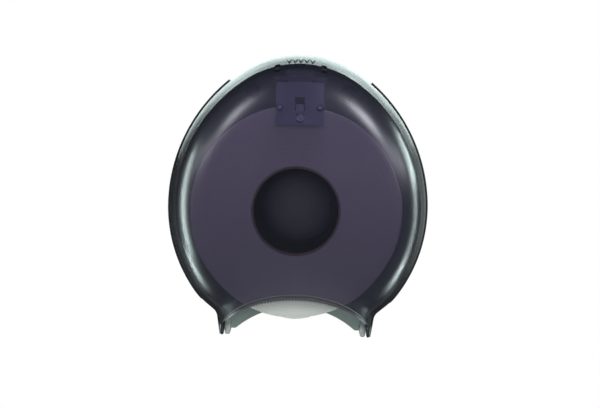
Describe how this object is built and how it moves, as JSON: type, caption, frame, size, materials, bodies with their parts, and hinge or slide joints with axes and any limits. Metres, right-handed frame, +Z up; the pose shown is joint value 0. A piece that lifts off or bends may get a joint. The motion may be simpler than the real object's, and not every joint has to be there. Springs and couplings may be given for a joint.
{
  "type": "jumbo toilet roll dispenser",
  "caption": "Wall-hung dispenser for a jumbo toilet roll: hinged smoke-grey cover with a toothed arch, key latch, revolving core holder and full paper roll.",
  "frame": {"origin": "on the wall plane, where the spindle's axis meets it", "axes": "+Y into the wall, so that the front looks along -Y; +Z up; +X to the right of someone facing the dispenser"},
  "size_m": [0.276, 0.143, 0.2973],
  "materials": {
    "plate_grey": "fine satin moulded plastic",
    "spindle_black": "satin moulded plastic",
    "hub_black": "satin moulded plastic",
    "cap_black": "matt grained plastic",
    "bush_white": "natural acetal",
    "zinc_steel": "bright zinc plate",
    "pin_steel": "ground steel",
    "spring_steel": "spring steel strip",
    "core_board": "spiral-wound grey-brown board",
    "tissue": "soft tissue, wound edges on the faces",
    "cover_smoke": "gloss translucent smoke plastic",
    "tear_bar_smoke": "satin translucent smoke plastic",
    "latch_smoke": "satin translucent smoke plastic",
    "slider_smoke": "satin translucent smoke plastic"
  },
  "bodies": {
    "base": {"back_plate": "plate_grey", "spindle": "spindle_black", "spindle_screws": "zinc_steel", "hub_washer": "zinc_steel", "hub_screw": "zinc_steel", "hinge_pin_left": "pin_steel", "hinge_pin_right": "pin_steel", "catch_bracket": "plate_grey", "catch_screws": "zinc_steel"},
    "hub": {"hub_drum": "hub_black", "hub_cap": "cap_black", "hub_bush_rear": "bush_white", "hub_bush_front": "bush_white"},
    "roll": {"roll_core": "core_board", "paper_roll": "tissue"},
    "cover": {"cover": "cover_smoke", "tear_bar": "tear_bar_smoke", "latch_frame": "latch_smoke", "latch_frame_screws": "zinc_steel", "detent_spring": "spring_steel", "detent_screw": "zinc_steel"},
    "latch": {"latch_slider": "slider_smoke"}
  },
  "joints": [
    {"name": "cover_hinge", "type": "hinge", "parent": "base", "child": "cover", "pos_m": [0, -0.014, -0.126], "axis": [1, 0, 0], "range_deg": [0, 100]},
    {"name": "roll_spin", "type": "hinge", "parent": "base", "child": "roll", "pos_m": [-0.00178, -0.0683, -0.00489], "axis": [0, 1, 0], "continuous": true},
    {"name": "hub_spin", "type": "hinge", "parent": "base", "child": "hub", "pos_m": [0, -0.05, 0], "axis": [0, 1, 0], "continuous": true},
    {"name": "latch_slide", "type": "slide", "parent": "cover", "child": "latch", "axis": [0, 0, 1], "range_m": [0, 0.005]}
  ],
  "couplings": [
    {"joint": "hub_spin", "follows": "roll_spin", "ratio": 1.1467}
  ]
}
